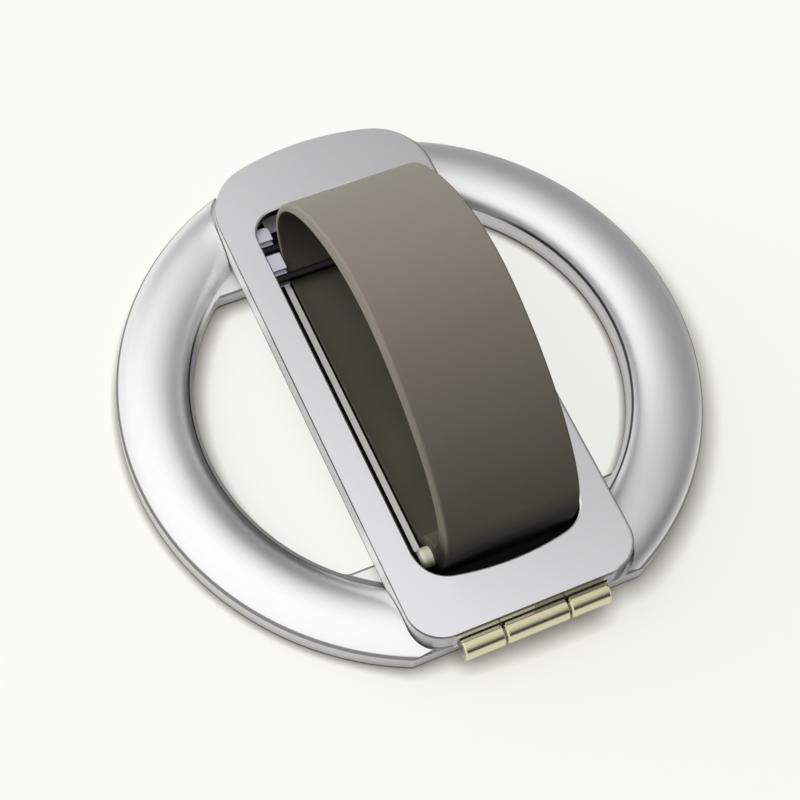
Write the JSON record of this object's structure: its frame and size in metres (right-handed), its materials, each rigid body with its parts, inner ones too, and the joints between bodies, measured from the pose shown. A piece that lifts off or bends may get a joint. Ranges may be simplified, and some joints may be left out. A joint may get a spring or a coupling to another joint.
{
  "type": "phone ring holder",
  "caption": "Flat round magnetic ring for the back of a phone, with a hinged slotted bracket that props it up and a soft finger strap arched over the bracket.",
  "frame": {"origin": "centre of the ring, on the face that lies on the phone", "axes": "+Z away from the phone, X along the hinge, +Y from the hinge to the tip of the bracket"},
  "size_m": [0.058, 0.0574, 0.0222],
  "materials": {
    "ring_alloy": "satin, bead blasted",
    "bracket_alloy": "fine satin",
    "champagne_metal": "pale champagne plating",
    "steel": "plain",
    "magnet_plating": "nickel plated",
    "strap_silicone": "smooth matt taupe",
    "pad_silicone": "matt dark grey"
  },
  "bodies": {
    "ring": {"ring_shell": "ring_alloy", "base_pad": "pad_silicone", "yoke_ring": "steel", "magnet_01": "magnet_plating", "magnet_02": "magnet_plating", "magnet_03": "magnet_plating", "magnet_04": "magnet_plating", "magnet_05": "magnet_plating", "magnet_06": "magnet_plating", "magnet_07": "magnet_plating", "magnet_08": "magnet_plating", "magnet_09": "magnet_plating", "magnet_10": "magnet_plating", "magnet_11": "magnet_plating", "magnet_12": "magnet_plating", "magnet_13": "magnet_plating", "magnet_14": "magnet_plating", "magnet_15": "magnet_plating", "hinge_leaf_ring": "champagne_metal", "hinge_ring_rivets": "steel", "hinge_pin": "steel"},
    "bracket": {"bracket_frame": "bracket_alloy", "bracket_base_plate": "bracket_alloy", "base_plate_screws": "steel", "hinge_leaf_bracket": "champagne_metal", "hinge_bracket_rivets": "steel", "strap_anchor_pin": "champagne_metal", "strap": "strap_silicone"},
    "slider": {"slider_block_left": "bracket_alloy", "slider_block_right": "bracket_alloy", "slider_pin_inner": "steel", "slider_pin_outer": "steel"}
  },
  "joints": [
    {"name": "bracket_hinge", "type": "hinge", "parent": "ring", "child": "bracket", "pos_m": [0, -0.0271, 0.0025], "axis": [1, 0, 0], "range_deg": [0, 120]},
    {"name": "strap_slide", "type": "slide", "parent": "bracket", "child": "slider", "axis": [0, 1, 0], "range_m": [-0.005, 0.0035], "deforming": ["strap"]}
  ]
}
